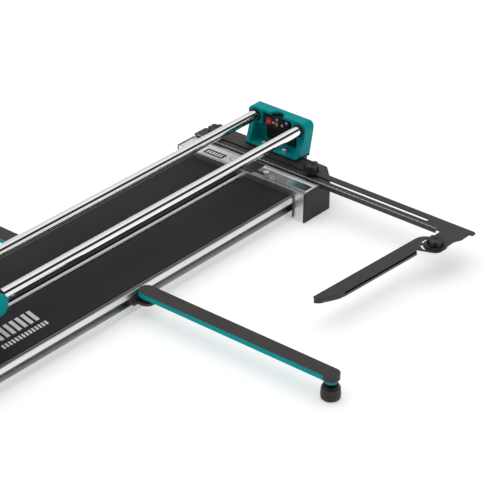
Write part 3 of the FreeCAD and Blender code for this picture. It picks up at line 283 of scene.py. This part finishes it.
ownFinish = {"front_pad": padFinish, "rear_pad": padFinish, "pad_edges": stripHighlightFinish,
             "far_beam": beamReflectionFinish, "near_beam": beamReflectionFinish,
             "front_outrigger_cover": warmFinish, "rear_outrigger_cover": warmFinish,
             "front_outrigger_foot": ribFinish, "rear_outrigger_foot": ribFinish,
             "front_clamp_knob": ribFinish, "rear_clamp_knob": ribFinish, "pivot_knob": ribFinish}
for part in frame["record"]["subparts"]:
    shown = nodes[part["node"]]
    shown.data.materials.clear()
    shown.data.materials.append(ownFinish.get(part["node"], finishes[part["material_slot"]]))


# helpers for new pieces

roundSegments = 32


def addPlate(shape, low, high):
    size = [b - a for a, b in zip(low, high)]
    middle = [(a + b) / 2 for a, b in zip(low, high)]
    place = Matrix.Translation(middle) @ Matrix.Diagonal((*size, 1.0))
    return bmesh.ops.create_cube(shape, size=1.0, matrix=place)["verts"]


def addTurnedPlate(shape, middle, size, turn):
    place = Matrix.Translation(middle) @ Matrix.Rotation(turn, 4, "Z") @ Matrix.Diagonal((*size, 1.0))
    return bmesh.ops.create_cube(shape, size=1.0, matrix=place)["verts"]


def roundPlate(shape, middle, radius, height):
    bmesh.ops.create_cone(shape, cap_ends=True, segments=roundSegments, radius1=radius, radius2=radius,
                          depth=height, matrix=Matrix.Translation(middle))


def finishPiece(shape, name, body, material):
    bmesh.ops.recalc_face_normals(shape, faces=shape.faces)
    mesh = bpy.data.meshes.new(name)
    shape.to_mesh(mesh)
    shape.free()
    mesh.materials.append(material)
    piece = bpy.data.objects.new(name, mesh)
    bpy.context.scene.collection.objects.link(piece)
    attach(piece, body)
    return piece


# print on the front pad: slanted bars over a row of dashes, in mm

padPrint = {"rows": ({"start": -206.0, "step": 13.6, "count": 8, "width": 8.2, "low": -70.0, "high": -38.0},
                     {"start": -206.0, "step": 7.6, "count": 14, "width": 4.4, "low": -91.0, "high": -80.0}),
            "slant": 0.22, "film": 0.06}


def makePadPrint(name, look):
    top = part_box("front_pad")[1].z
    shape = bmesh.new()
    lean = Matrix.Identity(4)
    lean[0][1] = look["slant"]
    for row in look["rows"]:
        footLine = Matrix.Translation((0.0, -row["low"] * mm, 0.0))
        for index in range(row["count"]):
            left = row["start"] + index * row["step"]
            bar = addPlate(shape, (left * mm, row["low"] * mm, top),
                           ((left + row["width"]) * mm, row["high"] * mm, top + look["film"] * mm))
            bmesh.ops.transform(shape, matrix=lean, verts=bar, space=footLine)
    return finishPiece(shape, name, "base", whiteFinish)


makePadPrint("front_pad_print", padPrint)
print("pad print made")

# printed scale on the far beam
# rectangles are x from, x to, y from, y to in mm: x from the label's near edge, y across the cutter
scalePrint = {"film": 0.04,
              "white": [(1.0, 42.0, 26.0, 147.0), (33.0, 42.4, -147.0, -26.0),
                        (10.0, 33.0, -147.0, -143.5)],
              "dark": [(7.5, 26.0, 52.0, 98.0), (0.8, 7.0, -146.0, -58.0), (9.0, 18.5, -47.0, -26.0),
                       (0.8, 42.4, -26.0, 26.0), (29.5, 32.0, 104.0, 140.0)],
              "fade": [(12.0, 33.0, -143.5, -96.0)],
              "red": [(2.0, 5.6, -58.0, -49.0), (7.0, 11.0, -54.5, -47.5)]}
tickPrint = {"from": 146.0, "to": -147.0, "step": 2.4, "width": 0.95, "longReach": 5.6, "shortReach": 3.6,
             "longEvery": 5, "fenceLine": 42.0, "fenceEdge": 41.6, "middleGap": 27.0,
             "padLine": 1.6, "barLow": 20.0, "barHigh": 100.0, "barEdge": 5.4,
             "whiteBelow": -60.0, "whiteEdge": 2.0, "whiteShare": 0.6}
blockPrint = {"count": 6, "from": 58.0, "step": 6.2, "width": 3.6, "left": 12.0, "right": 21.5}
discPrint = {"radius": 6.2, "rim": 1.3, "line": 23.5, "places": (36.0, -43.0)}
dialPrint = {"middle": (2.0, -52.0), "radii": (15.0, 20.5), "steps": 16, "startTurn": -78, "turnStep": 9.5,
             "rightLimit": 32, "topGap": 1, "mark": (3.6, 1.0)}
fadeStops = ((0.0, (0.34, 0.36, 0.36)), (0.22, (0.09, 0.20, 0.20)), (0.42, (0.02, 0.10, 0.105)),
             (0.62, (0.016, 0.022, 0.024)), (1.0, (0.010, 0.010, 0.011)))
fadeCloud = {"scale": 90, "span": (0.45, 0.75), "amount": 0.5, "colour": (0.10, 0.22, 0.22),
             "roughness": (0.22, 0.34)}


def makeFadeInk(name, start, end):
    # colour runs from start to end, in metres along Y
    material, tree, shader = newTree(name)
    place = addNode(tree, "ShaderNodeTexCoord")
    parts = addNode(tree, "ShaderNodeSeparateXYZ")
    join(tree, place, "Object", parts, "Vector")
    along = ranged(tree, parts, "Y", start, end, 0.0, 1.0)
    ramp = addNode(tree, "ShaderNodeValToRGB")
    fillRamp(ramp, fadeStops)
    join(tree, along, "Result", ramp, "Fac")
    cloud = stretchedNoise(tree, evenStretch, fadeCloud["scale"])
    lift = ranged(tree, cloud, "Fac", *fadeCloud["span"], 0.0, fadeCloud["amount"])
    colour = mixColour(tree, lift, "Result", ramp.outputs["Color"], fadeCloud["colour"])
    tree.links.new(colour, shader.inputs["Base Color"])
    shine = ranged(tree, cloud, "Fac", *glossSpan, *fadeCloud["roughness"])
    join(tree, shine, "Result", shader, "Roughness")
    return material


def makeScalePrint():
    low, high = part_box("scale_label")
    top, edge, film = high.z, low.x, scalePrint["film"] * mm
    white, dark, fade, red, marks = (bmesh.new() for each in range(5))

    def addFilm(shape, x0, x1, y0, y1, layer):
        addPlate(shape, (edge + x0 * mm, y0 * mm, top + layer * film),
                 (edge + x1 * mm, y1 * mm, top + (layer + 1) * film))

    for shape, key, layer in ((white, "white", 0), (fade, "fade", 0), (dark, "dark", 1), (red, "red", 2)):
        for rectangle in scalePrint[key]:
            addFilm(shape, *rectangle, layer)

    # ticks along the fence side on both halves, bars and white ticks along the pad side
    place, index, width = tickPrint["from"], 0, tickPrint["width"]
    while place > tickPrint["to"]:
        reach = tickPrint["longReach"] if index % tickPrint["longEvery"] == 0 else tickPrint["shortReach"]
        if abs(place) > tickPrint["middleGap"]:
            addFilm(dark, tickPrint["fenceLine"] - reach, tickPrint["fenceEdge"], place - width, place, 1)
        if tickPrint["barLow"] < place < tickPrint["barHigh"] and index % 2 == 0:
            addFilm(dark, tickPrint["padLine"], tickPrint["barEdge"], place - 2 * width, place, 1)
        if place < tickPrint["whiteBelow"]:
            whiteRight = tickPrint["whiteEdge"] + tickPrint["whiteShare"] * reach
            addFilm(marks, tickPrint["padLine"], whiteRight, place - width, place, 2)
        place -= tickPrint["step"]
        index += 1
    for index in range(blockPrint["count"]):
        y0 = blockPrint["from"] + index * blockPrint["step"]
        addFilm(marks, blockPrint["left"], blockPrint["right"], y0, y0 + blockPrint["width"], 2)
    for y in discPrint["places"]:
        for shape, rim, layer in ((dark, discPrint["rim"], 1.5), (marks, 0.0, 2.5)):
            roundPlate(shape, (edge + discPrint["line"] * mm, y * mm, top + layer * film),
                       discPrint["radius"] * mm + rim * mm, film)

    # dashes round two arcs, kept only in front of the dial's middle
    middleX, middleY = dialPrint["middle"]
    length, thick = dialPrint["mark"]
    for radius in dialPrint["radii"]:
        for step in range(dialPrint["steps"]):
            turn = math.radians(dialPrint["startTurn"] + step * dialPrint["turnStep"])
            x = edge + (middleX + radius * math.cos(turn)) * mm
            y = (middleY + radius * math.sin(turn)) * mm
            if y < (middleY - dialPrint["topGap"]) * mm and x < edge + dialPrint["rightLimit"] * mm:
                addTurnedPlate(marks, (x, y, top + 2.5 * film), (length * mm, thick * mm, film), turn)
    finishPiece(white, "scale_print_white", "base", whiteFinish)
    finishPiece(dark, "scale_print_black", "base", blackFinish)
    fadeEnd, fadeStart = scalePrint["fade"][0][2:]
    fadeFinish = makeFadeInk("fadeInk", fadeStart * mm, fadeEnd * mm)
    finishPiece(fade, "scale_print_fade", "base", fadeFinish)
    finishPiece(red, "scale_print_red", "base", redInkFinish)
    finishPiece(marks, "scale_print_marks", "base", whiteFinish)


makeScalePrint()
print("scale print made")

# ticks along the fence bar, in mm

fenceMarks = {"line": 550.6, "from": 147.0, "to": -404.0, "step": 2.5, "width": 1.0, "film": 0.05,
              "longReach": 4.2, "shortReach": 2.6, "longEvery": 4}


def makeFenceMarks(name, look):
    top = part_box("fence_bar")[1].z
    shape = bmesh.new()
    place = look["from"]
    index = 0
    while place >= look["to"]:
        reach = look["longReach"] if index % look["longEvery"] == 0 else look["shortReach"]
        addPlate(shape, (look["line"] * mm, (place - look["width"] / 2) * mm, top),
                 ((look["line"] + reach) * mm, (place + look["width"] / 2) * mm, top + look["film"] * mm))
        place -= look["step"]
        index += 1
    return finishPiece(shape, name, "fence_bar", whiteFinish)


makeFenceMarks("fence_bar_marks", fenceMarks)

# a thin black strip along the fence bar's front fold: painted shade
foldShadowLine = {"line": 549.5, "width": 0.9, "from": 148.0, "to": -461.0, "film": 0.03, "blunt": 0.01}


def makeFoldShadowLine(name, look):
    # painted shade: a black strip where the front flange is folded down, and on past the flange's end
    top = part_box("fence_bar")[1].z
    shape = bmesh.new()
    addPlate(shape, ((look["line"] - look["width"] / 2) * mm, look["to"] * mm, top),
             ((look["line"] + look["width"] / 2) * mm, look["from"] * mm, top + look["film"] * mm))
    bmesh.ops.bevel(shape, geom=shape.edges[:], offset=look["blunt"] * mm, segments=1, profile=0.5,
                    affect="EDGES", material=-1)
    return finishPiece(shape, name, "fence_bar", blackFinish)


makeFoldShadowLine("fence_bar_fold_shadow", foldShadowLine)
print("fence marks made")

# rolled hem along the stop arm's flange, lighter than the arm as painted highlight, and a near-black strip
# over it as painted shade in the fold, in mm from the arm's pivot

armHem = {"inner": 13.7, "root": -34.0, "bend": -226.0, "tip": (-268.0, 26.5), "angle": 3.3,
          "thick": 1.3, "height": 4.2, "lift": 0.0, "roundShare": 0.35,
          "pivotX": 506.0, "pivotY": -436.0}
armFoldShadow = {**armHem, "thick": 0.25, "height": 3.6, "lift": 4.3}


def makeArmStrip(name, look, finish):
    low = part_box("swivel_arm")[0].z + look["lift"] * mm
    middleZ = low + look["height"] / 2 * mm
    shape = bmesh.new()
    bend, root = (look["bend"], look["inner"]), (look["root"], look["inner"])
    for (x0, y0), (x1, y1) in ((bend, root), (look["tip"], bend)):
        length = math.hypot(x1 - x0, y1 - y0)
        addTurnedPlate(shape, ((x0 + x1) / 2 * mm, ((y0 + y1) / 2 - look["thick"] / 2) * mm, middleZ),
                       (length * mm, look["thick"] * mm, look["height"] * mm), math.atan2(y1 - y0, x1 - x0))
    bmesh.ops.bevel(shape, geom=shape.edges[:], offset=look["thick"] * look["roundShare"] * mm, segments=3,
                    profile=0.5, affect="EDGES", material=-1)
    turn = Matrix.Rotation(math.radians(-look["angle"]), 4, "Z")
    place = Matrix.Translation((look["pivotX"] * mm, look["pivotY"] * mm, 0.0)) @ turn
    bmesh.ops.transform(shape, matrix=place, verts=shape.verts)
    return finishPiece(shape, name, "swivel_arm", finish)


# the hem takes the lighter copy of the black paint as a painted highlight
makeArmStrip("swivel_arm_hem", armHem, hemHighlightFinish)
# painted shade: a thin near-black sheet on the flange above the hem, where the fold lies in shade
makeArmStrip("swivel_arm_fold_shadow", armFoldShadow, foldShadowFinish)

# ribbed hand grip, in mm; a point is distance along the handle and distance out from it
# rib points stand from each rib's start and full radius, tip points from the grip's end and body radius

gripLook = {"slope": 28.0, "length": 125.0, "startIn": (5.75, 12.37), "body": 14.6, "swell": 1.0,
            "mouth": ((0.2, 9.1), (0.2, 14.2), (1.4, 15.6), (4.2, 15.6), (7.0, 13.2), (11.0, 12.6)),
            "ribs": 13, "ribStart": 16.0, "ribStep": 7.2,
            "rib": ((0.0, -0.9), (0.9, -0.15), (2.4, 0.0), (4.0, 0.0), (5.5, -0.15), (6.3, -0.9)),
            "tip": ((-10.0, -0.2), (-5.0, -0.8), (-2.2, -3.2), (-0.7, -7.0), (-0.2, -14.6)),
            "segments": 56, "weld": 0.02}


def makeGrip(name, look):
    low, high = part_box("handle_grip")
    start = Vector((high.x - look["startIn"][0] * mm, 0.0, low.z + look["startIn"][1] * mm))
    slope = math.radians(look["slope"])
    along = Vector((-math.cos(slope), 0.0, math.sin(slope)))
    across = Vector((math.sin(slope), 0.0, math.cos(slope)))
    profile = list(look["mouth"])
    for index in range(look["ribs"]):
        at = look["ribStart"] + index * look["ribStep"]
        full = look["body"] + look["swell"] * math.sin(math.pi * index / (look["ribs"] - 1))
        profile += [(at + t, full + r) for t, r in look["rib"]]
    profile += [(look["length"] + t, look["body"] + r) for t, r in look["tip"]]
    shape = bmesh.new()
    points = [shape.verts.new(start + along * (t * mm) + across * (r * mm)) for t, r in profile]
    edges = [shape.edges.new((a, b)) for a, b in zip(points, points[1:])]
    bmesh.ops.spin(shape, geom=points + edges, cent=start, axis=along, angle=2 * math.pi,
                   steps=look["segments"], use_merge=True, use_duplicate=False)
    bmesh.ops.remove_doubles(shape, verts=shape.verts, dist=look["weld"] * mm)
    mouth = [edge for edge in shape.edges if edge.is_boundary]
    bmesh.ops.holes_fill(shape, edges=mouth, sides=0)
    for face in shape.faces:
        face.smooth = len(face.verts) < 6  # the flat mouth stays flat
    piece = finishPiece(shape, name, "lever", finishes["black_rubber"])
    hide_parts("handle_grip")
    return piece


makeGrip("hand_grip", gripLook)
print("hem and grip made")

# floor, in metres; the cloud value is the darker patches' share of the colour

floorLook = {"size": 16.0, "colour": (0.80, 0.80, 0.80), "glow": 0.40, "cloud": 0.985,
             "cloudScale": 1.5, "drop": 0.0002}


def makeFloor(name, look):
    shape = bmesh.new()
    middle = (cadLow + cadHigh) / 2
    bmesh.ops.create_grid(shape, x_segments=4, y_segments=4, size=look["size"] / 2,
                          matrix=Matrix.Translation((middle.x, middle.y, cadLow.z - look["drop"])))
    mesh = bpy.data.meshes.new(name)
    shape.to_mesh(mesh)
    shape.free()
    material, tree, shader = newTree("paleFloor")
    cloud = stretchedNoise(tree, evenStretch, look["cloudScale"])
    soft = mixColour(tree, cloud, "Fac", look["colour"], tuple(c * look["cloud"] for c in look["colour"]))
    tree.links.new(soft, shader.inputs["Base Color"])
    shader.inputs["Roughness"].default_value = 0.9
    shader.inputs["Specular IOR Level"].default_value = 0.0
    shader.inputs["Emission Color"].default_value = (1.0, 1.0, 1.0, 1.0)
    shader.inputs["Emission Strength"].default_value = look["glow"]
    mesh.materials.append(material)
    floor = bpy.data.objects.new(name, mesh)
    bpy.context.scene.collection.objects.link(floor)


makeFloor("floor", floorLook)

# light: a pale tent with a dark gap above the front, and one soft box overhead

# each band is degrees and brightness: 0 is the back, 90 overhead, 180 the front, -90 and 270 below
tentBands = ((-90, 0.60), (-20, 0.60), (5, 0.64), (20, 0.68), (60, 0.74), (80, 0.92), (97, 0.92),
             (105, 0.55), (113, 0.10), (121, 0.004), (141, 0.004), (147, 0.14), (156, 0.55),
             (166, 0.92), (178, 1.0), (200, 0.75), (270, 0.60))
tentLevel = 1.0


def makeTent():
    world = bpy.data.worlds.new("studioTent")
    bpy.context.scene.world = world
    world.use_nodes = True
    tree = world.node_tree
    tree.nodes.clear()
    out = addNode(tree, "ShaderNodeOutputWorld")
    back = addNode(tree, "ShaderNodeBackground", {"Strength": tentLevel})
    place = addNode(tree, "ShaderNodeTexCoord")
    parts = addNode(tree, "ShaderNodeSeparateXYZ")
    angle = addNode(tree, "ShaderNodeMath", operation="ARCTAN2")
    join(tree, place, "Generated", parts, "Vector")
    join(tree, parts, "Z", angle, 0)
    join(tree, parts, "Y", angle, 1)
    shifted = addNode(tree, "ShaderNodeMath", {1: math.pi / 2}, operation="ADD")
    join(tree, angle, "Value", shifted, 0)
    wrapped = addNode(tree, "ShaderNodeMath", {1: 2 * math.pi}, operation="FLOORED_MODULO")
    join(tree, shifted, "Value", wrapped, 0)
    share = addNode(tree, "ShaderNodeMath", {1: 2 * math.pi}, operation="DIVIDE")
    join(tree, wrapped, "Value", share, 0)
    ramp = addNode(tree, "ShaderNodeValToRGB")
    ramp.color_ramp.interpolation = "LINEAR"
    fillRamp(ramp, [((degrees + 90) / 360, (level, level, level)) for degrees, level in tentBands])
    join(tree, share, "Value", ramp, "Fac")
    join(tree, ramp, "Color", back, "Color")
    join(tree, back, "Background", out, "Surface")


def addSoftBox(name, place, aim, size, power):
    data = bpy.data.lights.new(name, "AREA")
    data.shape = "RECTANGLE"
    data.size, data.size_y = size
    data.energy = power
    light = bpy.data.objects.new(name, data)
    bpy.context.scene.collection.objects.link(light)
    light.visible_glossy = False
    turn = (Vector(aim) - Vector(place)).to_track_quat("-Z", "Y")
    light.matrix_world = Matrix.Translation(place) @ turn.to_matrix().to_4x4()


softBox = {"place": (0.35, 0.1, 3.0), "aim": (0.3, 0.0, 0.0), "size": (4.5, 4.5), "power": 44}

makeTent()
addSoftBox("overheadBox", **softBox)

# camera

cameraSet = {"place": (-2.31404, -2.29044, 1.98887), "yaw": 38.81, "pitch": 30.07, "roll": 0.96,
             "lens": 160.3, "sensor": 36.0}


def makeCamera(look):
    yaw, pitch, roll = (math.radians(look[key]) for key in ("yaw", "pitch", "roll"))
    forward = Vector((math.cos(yaw) * math.cos(pitch), math.sin(yaw) * math.cos(pitch), -math.sin(pitch)))
    level = Vector((math.sin(yaw), -math.cos(yaw), 0.0))
    upright = level.cross(forward)
    right = math.cos(roll) * level + math.sin(roll) * upright
    up = -math.sin(roll) * level + math.cos(roll) * upright
    turn = Matrix((right, up, -forward)).transposed().to_4x4()
    data = bpy.data.cameras.new("studioCamera")
    data.lens = look["lens"]
    data.sensor_width = look["sensor"]
    data.clip_end = 60.0
    camera = bpy.data.objects.new("studioCamera", data)
    bpy.context.scene.collection.objects.link(camera)
    camera.matrix_world = Matrix.Translation(look["place"]) @ turn
    bpy.context.scene.camera = camera


makeCamera(cameraSet)
bpy.context.scene.view_settings.view_transform = "Standard"
print("stage, light and camera set")
